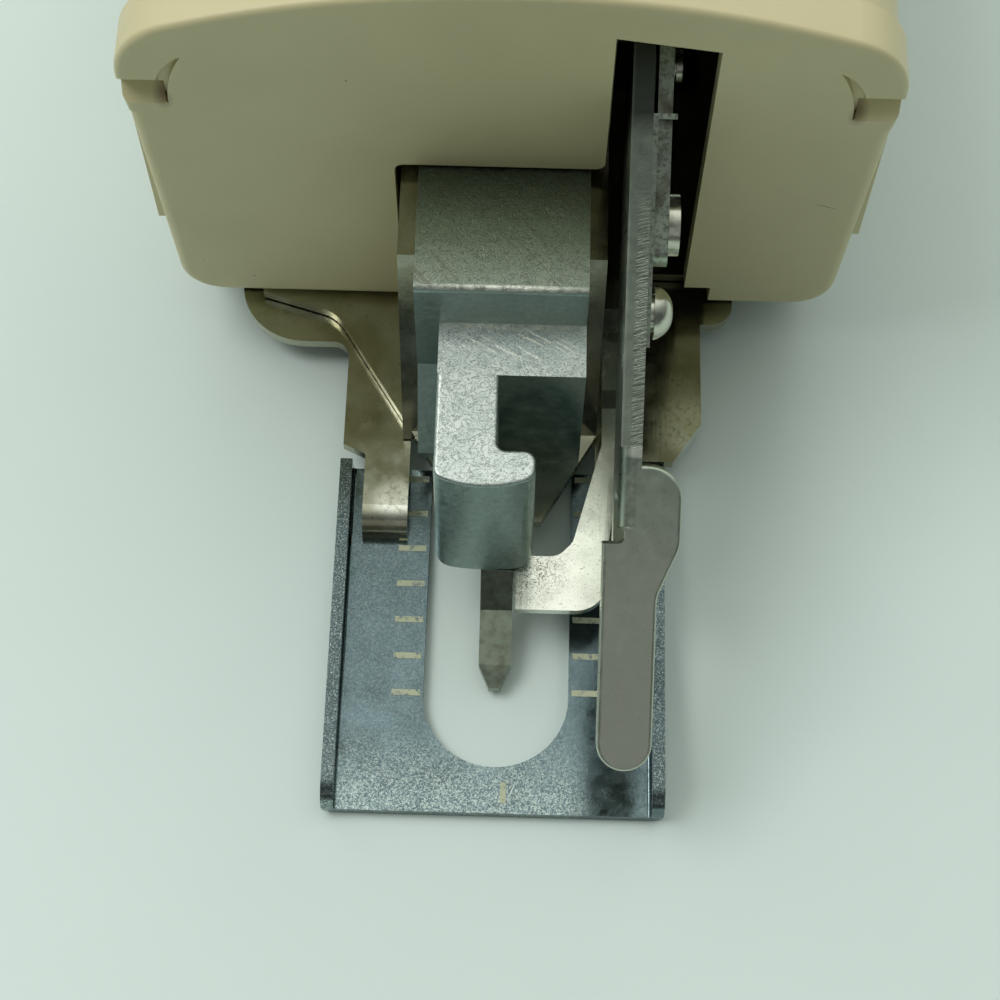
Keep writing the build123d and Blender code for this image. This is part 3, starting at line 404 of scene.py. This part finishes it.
def blued_finish(settings):
    """Blued steel: teal cloudy film, deeper at the rear, a freckled front lip, and flanges darkened as
    painted shade and freckled with wear.
    """
    finish = Finish("clamp_blueing", metallic=1.0)
    deep = scaled(settings.blued_colour, 0.62)
    clouds = finish.spread(finish.noise(3.5 * MM, distortion=0.4), *NOISE_SPAN)
    base = finish.mix(clouds, deep, settings.blued_colour)
    from_front = finish.axis(finish.place((0, CLAMP_FRONT, 0)), "Y")
    rear = finish.spread(from_front, 10.0 * MM, 20.0 * MM, 0.0, 0.8)
    base = finish.mix(rear, base, deep)
    wander = finish.times(finish.noise(2.2 * MM), 3.0 * MM)
    rubbed_and_highlight = finish.spread(finish.combine("ADD", from_front, wander), 2.5 * MM, 8.5 * MM, 0.9, 0.2)
    shaded = finish.span("X", 5.5 * MM, 8.0 * MM, 1.0, 0.3)
    specks = finish.spread(finish.noise(0.15 * MM, detail=4.0, distortion=1.2), 0.46, 0.58)
    hair_place = (1.5 * MM, CLAMP_FRONT + 1.9 * MM, CLAMP_TOP)
    slant = (0, 0, math.radians(-24))
    hair = finish.patch(hair_place, mm(0.07, 1.1, 1.0), slant, softness=0.7)
    freckles = finish.either(finish.times(specks, rubbed_and_highlight, shaded), hair)
    base = finish.mix(finish.times(freckles, 0.85), base, settings.worn_colour)
    # Painted shade: the upright flanges are darkened, then freckled with real wear.
    flange = finish.span("Z", 2.3 * MM, 2.7 * MM)
    base = finish.mix(finish.times(flange, 0.75), base, scaled(deep, 0.5))
    flange_wear = finish.spread(finish.noise(0.13 * MM, detail=4.0, distortion=1.0), 0.5, 0.72, 0.0, 0.75)
    base = finish.mix(finish.times(flange, flange_wear), base, settings.worn_colour)
    dark_pits = finish.spread(finish.noise(0.22 * MM, detail=4.0), 0.3, 0.42, 0.5, 0.0)
    finish.colour(finish.mix(dark_pits, base, settings.oil_and_shade_colour))
    finish.polish(1.2 * MM, smoothest=0.14, roughest=0.28)
    scratch_place = finish.place(turn=(0, 0, math.radians(12)), stretch=(1.0, 24.0, 1.0))
    scratches = finish.times(finish.noise(0.25 * MM, scratch_place), 0.4)
    height = finish.combine("ADD", finish.noise(0.3 * MM, detail=4.0), scratches)
    finish.bump(height, depth=0.01 * MM, strength=0.45)
    return finish


def nickel_base(finish, settings, plate_colour, grime):
    """Plating clouded by tarnish and pricked by fine pits, and its height map."""
    thinnest = max(0.0, 2.0 * grime)
    tarnish = finish.spread(finish.noise(6 * MM, distortion=0.3), 0.62 - grime, 0.85 - grime, thinnest, 1.0)
    pits = finish.spread(finish.noise(0.2 * MM, detail=5.0, distortion=1.2), 0.6, 0.72, 0.0, 0.7)
    base = finish.mix(tarnish, plate_colour, settings.tarnish_colour)
    base = finish.mix(pits, base, settings.oil_and_shade_colour)
    lines = finish.noise(0.4 * MM, finish.place(stretch=(1.0, 18.0, 1.0)))
    return base, finish.combine("ADD", lines, finish.times(pits, 0.6))


def tarnished_finish(settings):
    """Tarnished plating with painted highlights on the bends of the carrier's hook and leg, oil streaks and
    painted shade on the frame's ears, and painted shade inside the case.
    """
    finish = Finish("plating_tarnished", metallic=1.0)
    base, height = nickel_base(finish, settings, settings.nickel_colour, grime=0.22)
    # Painted highlights on the bends of the carrier's hook and right leg, broken by dark specks.
    hook = finish.patch(at(-8.7, -18.4, 4.0), mm(2.4, 2.2, 4.0))
    leg = finish.patch(at(15.3, -11.0, 3.0), mm(3.8, 3.2, 4.0))
    flaws = finish.spread(finish.noise(0.5 * MM, detail=5.0), 0.36, 0.5, 0.3, 0.9)
    rubbed_and_highlight = finish.times(finish.either(hook, leg), flaws)
    base = finish.mix(rubbed_and_highlight, base, settings.bright_and_highlight_colour)
    # Oil streaks and painted shade on the fronts of the frame's ears, darker on the right beside the fork
    # arm.
    high = finish.span("Z", 5.0 * MM, 8.0 * MM)
    right = finish.span("X", 5.0 * MM, 6.2 * MM, 0.35, 0.85)
    ahead = finish.span("Y", FRONT_Y + 2.0 * MM, FRONT_Y + 3.0 * MM, 1.0, 0.0)
    streaks = finish.spread(finish.noise(2.0 * MM, finish.place(stretch=(1, 1, 3))), 0.3, 0.6, 0.6, 1.0)
    ear_oil_and_shade = finish.times(high, right, streaks, ahead)
    # Painted shade on the plated faces inside the case, in the oil colour.
    case_shade = finish.times(finish.shade_inside_case(), 0.9)
    finish.colour(finish.mix(finish.either(ear_oil_and_shade, case_shade), base, settings.oil_and_shade_colour))
    finish.polish(1.6 * MM, smoothest=0.12, roughest=0.24)
    finish.bump(height, depth=0.01 * MM, strength=0.45)
    return finish


def bright_finish(settings):
    """Bright plated strip, crazed beside the toe and worn dull along it."""
    finish = Finish("plating_bright", metallic=1.0)
    base, height = nickel_base(finish, settings, settings.bright_and_highlight_colour, grime=-0.05)
    cracks = finish.noise(0.6 * MM, distortion=1.6)
    crazing = finish.spread(finish.apart(cracks, 0.5), 0.012, 0.035, 1.0, 0.0)
    near_toe = finish.patch(at(1.9, -25.4, 5.6), mm(4.2, 4.0, 3.0), softness=0.6)
    base = finish.mix(finish.times(crazing, near_toe), base, settings.oil_and_shade_colour)
    toe_place = finish.place(at(-0.15, -30.5, 3.0), stretch=mm(1.9, 5.6, 4.0))
    ahead = finish.spread(finish.axis(toe_place, "Y"), 0.86, 0.94, 1.0, 0.0)
    left = finish.spread(finish.axis(toe_place, "X"), 0.7, 0.9, 1.0, 0.0)
    blotches = finish.spread(finish.noise(0.7 * MM, detail=5.0), 0.3, 0.55, 0.45, 1.0)
    worn = finish.mix(blotches, settings.oil_and_shade_colour, settings.dull_colour)
    finish.colour(finish.mix(finish.times(ahead, left), base, worn))
    finish.polish(1.6 * MM, smoothest=0.14, roughest=0.3)
    finish.bump(height, depth=0.012 * MM, strength=0.5)
    return finish


def zinc_finish(settings):
    """Die-cast zinc: crinkled bright skin on faces that look up and a smoother, darker copy on upright faces
    as painted shade, dark patina deepened by painted shade near the cover, painted shade on the shelf and in
    the channel, painted highlights along the ridge and ledge, pale streaks on the shelf, and slanted file
    strokes.
    """
    finish = Finish("foot_casting", metallic=1.0)
    folds = finish.noise(0.55 * MM, roughness=0.6, distortion=1.6)
    crinkle = finish.spread(finish.apart(folds, 0.5), 0.0, 0.06)
    creases = finish.spread(crinkle, 0.2, 0.7, 0.9, 0.0)
    blotches = finish.spread(finish.noise(1.8 * MM, detail=4.0), 0.4, 0.7, 0.0, 0.4)
    skin = finish.mix(creases, settings.zinc_colour, settings.zinc_pit_colour)
    skin = finish.mix(blotches, skin, settings.zinc_blotch_and_shade_colour)

    top = finish.span("Z", 23.6 * MM, 24.6 * MM)
    # Patina deepened by painted shade towards the cover, which overhangs the foot's top.
    toward_cover = finish.span("Y", FRONT_Y - 10.6 * MM, FRONT_Y - 6.0 * MM, 0.7, 0.95)
    patina_and_shade = finish.mix(creases, settings.patina_and_shade_colour, scaled(settings.patina_and_shade_colour, 0.6))
    skin = finish.mix(finish.times(top, toward_cover), skin, patina_and_shade)
    # Painted shade under the cover's notch.
    shade_under_notch = finish.span("Y", FRONT_Y - 5.5 * MM, FRONT_Y - 0.5 * MM, 0.0, 0.85)
    skin = finish.mix(finish.times(top, shade_under_notch), skin, scaled(settings.patina_and_shade_colour, 0.4))
    stroke_place = finish.place(turn=(0, 0, math.radians(-48)), stretch=(22.0, 0.6, 1.0))
    strokes = finish.times(finish.spread(finish.noise(0.45 * MM, stroke_place), 0.6, 0.66), top)
    skin = finish.mix(finish.times(strokes, 0.4), skin, settings.oil_and_shade_colour)

    shelf = finish.patch(at(1.5, -12.4, 19.4), mm(7.0, 1.8, 3.0))
    # Painted shade on the shelf below the step.
    skin = finish.mix(finish.times(shelf, 0.4), skin, settings.zinc_blotch_and_shade_colour)
    # Pale slanted streaks across the shelf.
    streak_place = finish.place(turn=(0, 0, math.radians(-28)), stretch=(9.0, 0.7, 1.0))
    pale_streaks = finish.spread(finish.noise(0.35 * MM, streak_place, distortion=0.6), 0.56, 0.64)
    skin = finish.mix(finish.times(pale_streaks, shelf), skin, settings.bright_and_highlight_colour)
    # Painted highlights along the ledge at the back of the shelf and along the top ridge, broken by noise.
    ledge = finish.patch(at(0, -10.9, 20.0), mm(9.0, 0.45, 0.8), softness=0.6)
    ridge = finish.patch(at(0, -10.45, 24.85), mm(9.0, 0.4, 0.6), softness=0.5)
    broken = finish.spread(finish.noise(0.5 * MM, detail=4.0), 0.35, 0.55, 0.2, 0.9)
    edge_highlights = finish.times(finish.either(ledge, ridge), broken)
    skin = finish.mix(edge_highlights, skin, settings.bright_and_highlight_colour)

    # Painted shade: upright faces get this darker copy of the zinc.
    clouds = finish.spread(finish.noise(0.5 * MM, detail=5.0), 0.35, 0.65)
    wall_shade = finish.mix(clouds, settings.zinc_blotch_and_shade_colour, scaled(settings.zinc_blotch_and_shade_colour, 0.8))
    # Painted shade in the foot's channel, patchy.
    channel = finish.patch(at(2.8, -15.2, 10.0), mm(4.6, 1.2, 11.0), softness=0.3)
    patchiness = finish.spread(finish.noise(1.4 * MM, detail=4.0), 0.3, 0.6, 0.55, 0.95)
    wall_shade = finish.mix(finish.times(channel, patchiness), wall_shade, settings.zinc_shade_colour)

    # Faces that look up get the bright skin, upright faces the painted shade.
    upward = finish.upward()
    finish.colour(finish.mix(upward, wall_shade, skin))
    sheen = finish.spread(finish.noise(0.8 * MM, detail=4.0), *NOISE_SPAN, -0.06, 0.06)
    finish.roughen(finish.combine("ADD", sheen, finish.spread(upward, 0.0, 1.0, 0.36, 0.4)))
    height = finish.combine("SUBTRACT", crinkle, finish.times(strokes, 0.3))
    finish.bump(height, depth=0.012 * MM, strength=0.6)
    return finish


def sheared_finish(settings):
    """Stamped fork arm: a sheared upper edge, torn along its right half, painted shade where it runs up into
    the slot, a painted highlight across its bend, and a satin blade.
    """
    finish = Finish("fork_stamping", metallic=1.0)
    pivot = (0.0, PIVOT.y, PIVOT.z)
    level = finish.place(pivot, (ARM_SLOPE, 0, 0))
    along = finish.axis(level, "Y")
    across = finish.axis(level, "X")
    above = finish.axis(level, "Z")

    shade = finish.spread(finish.noise(3.5 * MM), *NOISE_SPAN)
    base = finish.mix(shade, settings.steel_colour, scaled(settings.steel_colour, 0.82))
    pits = finish.spread(finish.noise(0.4 * MM, detail=5.0), 0.58, 0.7, 0.0, 0.3)
    base = finish.mix(pits, base, settings.oil_and_shade_colour)
    # Painted shade on the arm where it runs up into the cover's slot, fading further down.
    slot_shade = finish.spread(along, -12.5 * MM, -9.0 * MM, 0.0, 0.95)
    slot_shade_fade = finish.spread(along, -22.0 * MM, -12.0 * MM, 0.0, 0.4)
    base = finish.mix(finish.either(slot_shade, slot_shade_fade), base, scaled(settings.steel_colour, 0.12))
    blade = finish.spread(along, -35.0 * MM, -45.0 * MM, 0.0, 0.75)
    base = finish.mix(blade, base, settings.nickel_colour)

    edge_top = finish.spread(above, 6.7 * MM, 6.95 * MM)
    on_edge = finish.times(edge_top, finish.spread(along, -34.0 * MM, -33.4 * MM))
    torn_length = finish.spread(along, -14.0 * MM, -19.0 * MM, 0.15, 1.0)
    left_edge = finish.spread(across, 8.98 * MM, 9.12 * MM, 0.6, 0.0)
    burr = finish.times(on_edge, left_edge, torn_length)
    base = finish.mix(burr, base, settings.nickel_colour)
    # A painted highlight across the bend at the end of the arm's edge.
    bend_highlight = finish.spread(finish.apart(along, -33.9 * MM), 0.3 * MM, 0.5 * MM, 1.0, 0.0)
    bend_highlight_top = finish.spread(above, 6.5 * MM, 6.9 * MM)
    base = finish.mix(finish.times(bend_highlight, bend_highlight_top, 0.9), base, settings.bright_and_highlight_colour)

    wander = finish.times(finish.noise(1.2 * MM), 0.5 * MM)
    torn_side = finish.spread(finish.combine("ADD", across, wander), 9.75 * MM, 9.95 * MM)
    tear_place = finish.place(pivot, (ARM_SLOPE, 0, math.radians(18)), (8.0, 0.5, 1.0))
    tears = finish.spread(finish.noise(0.3 * MM, tear_place), 0.42, 0.6, 0.0, 0.5)
    torn = finish.times(on_edge, torn_side, torn_length, tears)
    finish.colour(finish.mix(torn, base, settings.oil_and_shade_colour))
    finish.polish(0.9 * MM, smoothest=0.26, roughest=0.4)
    grain = finish.times(finish.noise(0.16 * MM, detail=5.0), 0.5)
    height = finish.combine("SUBTRACT", grain, finish.times(torn, 1.4))
    finish.bump(height, depth=0.04 * MM, strength=0.6)
    return finish


def steel_finish(name, settings, oil):
    """Plain stamped steel under a film of oil, pricked dark by old rust."""
    finish = Finish(name, metallic=1.0)
    film = finish.spread(finish.noise(4 * MM, distortion=0.8), 0.62 - oil, 0.9 - oil)
    pits = finish.spread(finish.noise(0.3 * MM, detail=5.0), 0.48, 0.64, 0.0, 0.7)
    steel = finish.mix(pits, settings.steel_colour, settings.oil_and_shade_colour)
    finish.colour(finish.mix(film, steel, settings.oil_and_shade_colour))
    finish.polish(1.4 * MM, smoothest=0.26, roughest=0.44)
    finish.bump(finish.noise(0.25 * MM, detail=4.0), depth=0.01 * MM, strength=0.5)
    return finish


def turned_finish(settings):
    """Turned and polished heads of rivets, pins and screws."""
    finish = Finish("turned_heads", metallic=1.0)
    film = finish.spread(finish.noise(1.1 * MM), 0.5, 0.75)
    finish.colour(finish.mix(film, settings.nickel_colour, settings.tarnish_colour))
    finish.polish(0.5 * MM, smoothest=0.14, roughest=0.3)
    finish.bump(finish.noise(0.2 * MM), depth=0.006 * MM, strength=0.4)
    return finish


def knob_finish(settings):
    """Glossy moulded knob with worn, paler patches."""
    finish = Finish("knob_moulding")
    wear = finish.spread(finish.noise(1.5 * MM, detail=5.0), 0.6, 0.8)
    finish.colour(finish.mix(wear, settings.knob_colour, scaled(settings.knob_colour, 2.2)))
    finish.polish(2 * MM, smoothest=0.24, roughest=0.4)
    finish.bump(finish.noise(0.3 * MM), depth=0.01 * MM, strength=0.5)
    return finish


def mark_finish(settings):
    """Worn paint in the clamp's marks."""
    finish = Finish("mark_paint", roughness=0.6)
    wear = finish.spread(finish.noise(0.4 * MM, detail=4.0), 0.52, 0.68)
    finish.colour(finish.mix(wear, settings.mark_colour, settings.blued_colour))
    finish.bump(finish.noise(0.15 * MM), depth=0.01 * MM, strength=0.5)
    return finish


def table_finish(settings):
    """Pale paint, faintly clouded."""
    finish = Finish("table_paint", roughness=0.5)
    clouds = finish.spread(finish.noise(30 * MM), *NOISE_SPAN)
    finish.colour(finish.mix(clouds, scaled(settings.floor_colour, 0.97), settings.floor_colour))
    finish.bump(finish.noise(1.2 * MM, detail=4.0), depth=0.03 * MM, strength=0.4)
    return finish


# Operators, one for each group of pieces and one for the stage


class BUTTONHOLE_OT_cover(bpy.types.Operator):
    """Finish the moulded cover"""

    bl_idname = "buttonhole.cover"
    bl_label = "Cover"

    def execute(self, context):
        dress(cover_finish(context.scene.buttonhole_finish), "cover")
        return {"FINISHED"}


class BUTTONHOLE_OT_foot(bpy.types.Operator):
    """Finish the die-cast attaching foot"""

    bl_idname = "buttonhole.foot"
    bl_label = "Attaching foot"

    def execute(self, context):
        dress(zinc_finish(context.scene.buttonhole_finish), "attaching_foot")
        return {"FINISHED"}


class BUTTONHOLE_OT_plating(bpy.types.Operator):
    """Finish the plated sheet-metal pieces"""

    bl_idname = "buttonhole.plating"
    bl_label = "Plated pieces"

    def execute(self, context):
        settings = context.scene.buttonhole_finish
        dress(tarnished_finish(settings), "clamp_carrier", "frame_plate", "cross_slide")
        dress(bright_finish(settings), "presser_toe", "template_door", "width_lever")
        return {"FINISHED"}


class BUTTONHOLE_OT_clamp(bpy.types.Operator):
    """Blue the cloth clamp and paint its marks"""

    bl_idname = "buttonhole.clamp"
    bl_label = "Cloth clamp"

    def execute(self, context):
        settings = context.scene.buttonhole_finish
        marks = context.scene.buttonhole_marks
        dress(blued_finish(settings), "cloth_clamp")
        shape = bmesh.new()
        for row in range(marks.rows):
            y = CLAMP_FRONT + marks.first_row + row * marks.pitch
            for side, shift in ((-1, 0.0), (1, marks.right_shift)):
                x = side * (marks.slot_half + marks.slot_gap + marks.length / 2)
                self.add_mark(shape, marks, (x, y + shift), (marks.length, marks.width))
        tick_centre = (marks.tick_right, CLAMP_FRONT + marks.tick_back)
        self.add_mark(shape, marks, tick_centre, (marks.tick_width, marks.tick_length))
        keep_mesh(shape, "clamp_marks", mark_finish(settings), "carrier")
        return {"FINISHED"}

    def add_mark(self, shape, marks, centre, size):
        """A thin bevelled bar of paint lying on the clamp plate."""
        verts = bmesh.ops.create_cube(shape, size=1.0)["verts"]
        bmesh.ops.scale(shape, vec=(*size, marks.thickness), verts=verts)
        bmesh.ops.translate(shape, vec=(*centre, CLAMP_TOP + marks.thickness / 2), verts=verts)
        edges = {edge for corner in verts for edge in corner.link_edges}
        bmesh.ops.bevel(
            shape, geom=list(edges), offset=marks.rounding,
            affect="EDGES", segments=2, profile=0.5, material=-1,
        )


class BUTTONHOLE_OT_fork(bpy.types.Operator):
    """Finish the fork arm and what is riveted to it"""

    bl_idname = "buttonhole.fork"
    bl_label = "Fork arm"

    def execute(self, context):
        settings = context.scene.buttonhole_finish
        dress(sheared_finish(settings), "fork_arm")
        dress(steel_finish("strap_steel", settings, oil=0.16), "pawl_lever", "feed_pawl")
        dress(steel_finish("leaf_steel", settings, oil=0.0), "pawl_spring")
        return {"FINISHED"}


class BUTTONHOLE_OT_heads(bpy.types.Operator):
    """Finish the rivets, pins and screws"""

    bl_idname = "buttonhole.heads"
    bl_label = "Rivets, pins and screws"

    def execute(self, context):
        dress(
            turned_finish(context.scene.buttonhole_finish),
            "cover_screws", "foot_rivets", "toe_rivet", "pivot_pin", "pivot_washer",
            "door_pin", "lever_screw", "arm_rivet", "spring_stud", "pawl_pin",
        )
        return {"FINISHED"}


class BUTTONHOLE_OT_feed(bpy.types.Operator):
    """Finish the feed mechanism inside the case and its knob"""

    bl_idname = "buttonhole.feed"
    bl_label = "Feed mechanism"

    def execute(self, context):
        settings = context.scene.buttonhole_finish
        dress(
            steel_finish("oiled_steel", settings, oil=0.22),
            "spindle", "ratchet_wheel", "bite_cam", "tracking_pinion", "spindle_bridge", "bite_yoke",
            "right_rail", "left_rail",
        )
        dress(knob_finish(settings), "advance_knob")
        return {"FINISHED"}


class BUTTONHOLE_OT_studio(bpy.types.Operator):
    """Lay the table, hang the lamps and stand the camera"""

    bl_idname = "buttonhole.studio"
    bl_label = "Studio"

    def execute(self, context):
        settings = context.scene.buttonhole_studio
        self.lay_table(settings)
        self.light_room(context.scene, settings)
        self.hang_lamp("key_lamp", settings.key_power, settings.key_place, settings)
        self.hang_lamp("fill_lamp", settings.fill_power, settings.fill_place, settings)
        self.stand_camera(context.scene, settings)
        context.scene.view_settings.view_transform = "Standard"
        return {"FINISHED"}

    def lay_table(self, settings):
        """A pale painted table top."""
        shape = bmesh.new()
        bmesh.ops.create_grid(shape, x_segments=1, y_segments=1, size=settings.floor_reach)
        table = add_object(shape, "table", table_finish(settings))

    def light_room(self, scene, settings):
        """A soft room, palest towards the lean and dim away from it."""
        world = bpy.data.worlds.new("room")
        world.use_nodes = True
        scene.world = world
        nodes = world.node_tree.nodes
        links = world.node_tree.links
        coordinates = nodes.new("ShaderNodeTexCoord")
        lean = nodes.new("ShaderNodeVectorMath")
        lean.operation = "DOT_PRODUCT"
        lean.inputs[1].default_value = settings.sky_lean
        ramp = nodes.new("ShaderNodeValToRGB")
        dim, pale = ramp.color_ramp.elements
        dim.color = (*settings.sky_dim, 1.0)
        pale.color = (*settings.sky_pale, 1.0)
        pale.position = settings.sky_pale_stop
        half = ramp.color_ramp.elements.new(settings.sky_half_stop)
        half.color = (*settings.sky_half, 1.0)
        background = nodes["Background"]
        background.inputs["Strength"].default_value = settings.sky_strength
        links.new(coordinates.outputs["Generated"], lean.inputs[0])
        links.new(lean.outputs["Value"], ramp.inputs["Fac"])
        links.new(ramp.outputs["Color"], background.inputs["Color"])

    def hang_lamp(self, name, power, place, settings):
        """A round lamp that points at the aim."""
        light = bpy.data.lights.new(name, "AREA")
        light.shape = "DISK"
        light.size = settings.lamp_size
        light.energy = power
        lamp = bpy.data.objects.new(name, light)
        lamp.location = place
        toward_aim = Vector(settings.lamp_aim) - Vector(place)
        lamp.rotation_euler = toward_aim.to_track_quat("-Z", "Y").to_euler()
        bpy.context.scene.collection.objects.link(lamp)

    def stand_camera(self, scene, settings):
        """A camera turned, tilted and rolled in its place."""
        camera = bpy.data.cameras.new("camera")
        camera.sensor_width = settings.sensor
        camera.lens = settings.lens
        camera.clip_start = settings.nearest
        stand = bpy.data.objects.new("camera", camera)
        turn = Matrix.Rotation(settings.camera_turn, 4, "Z")
        tilt = Matrix.Rotation(settings.camera_tilt, 4, "X")
        roll = Matrix.Rotation(settings.camera_roll, 4, "Z")
        stand.matrix_world = Matrix.Translation(settings.camera_place) @ turn @ tilt @ roll
        scene.collection.objects.link(stand)
        scene.camera = stand


OPERATORS = (
    BUTTONHOLE_OT_cover,
    BUTTONHOLE_OT_foot,
    BUTTONHOLE_OT_plating,
    BUTTONHOLE_OT_clamp,
    BUTTONHOLE_OT_fork,
    BUTTONHOLE_OT_heads,
    BUTTONHOLE_OT_feed,
    BUTTONHOLE_OT_studio,
)


class BUTTONHOLE_PT_panel(bpy.types.Panel):
    """Lists the attachment's finishing steps"""

    bl_idname = "BUTTONHOLE_PT_panel"
    bl_label = "Buttonhole attachment"
    bl_space_type = "VIEW_3D"
    bl_region_type = "UI"
    bl_category = "Buttonhole"

    def draw(self, context):
        for operator in OPERATORS:
            self.layout.operator(operator.bl_idname)


SETTINGS = {
    "buttonhole_studio": StudioSettings,
    "buttonhole_finish": FinishSettings,
    "buttonhole_marks": MarkSettings,
}
CLASSES = (*SETTINGS.values(), *OPERATORS, BUTTONHOLE_PT_panel)


def register():
    for one in CLASSES:
        bpy.utils.register_class(one)
    for name, group in SETTINGS.items():
        setattr(bpy.types.Scene, name, bpy.props.PointerProperty(type=group))


def unregister():
    for name in SETTINGS:
        delattr(bpy.types.Scene, name)
    for one in reversed(CLASSES):
        bpy.utils.unregister_class(one)


def main():
    register()
    bpy.ops.buttonhole.cover()
    bpy.ops.buttonhole.foot()
    bpy.ops.buttonhole.plating()
    bpy.ops.buttonhole.clamp()
    bpy.ops.buttonhole.fork()
    bpy.ops.buttonhole.heads()
    bpy.ops.buttonhole.feed()
    bpy.ops.buttonhole.studio()


if __name__ == "__main__":
    main()
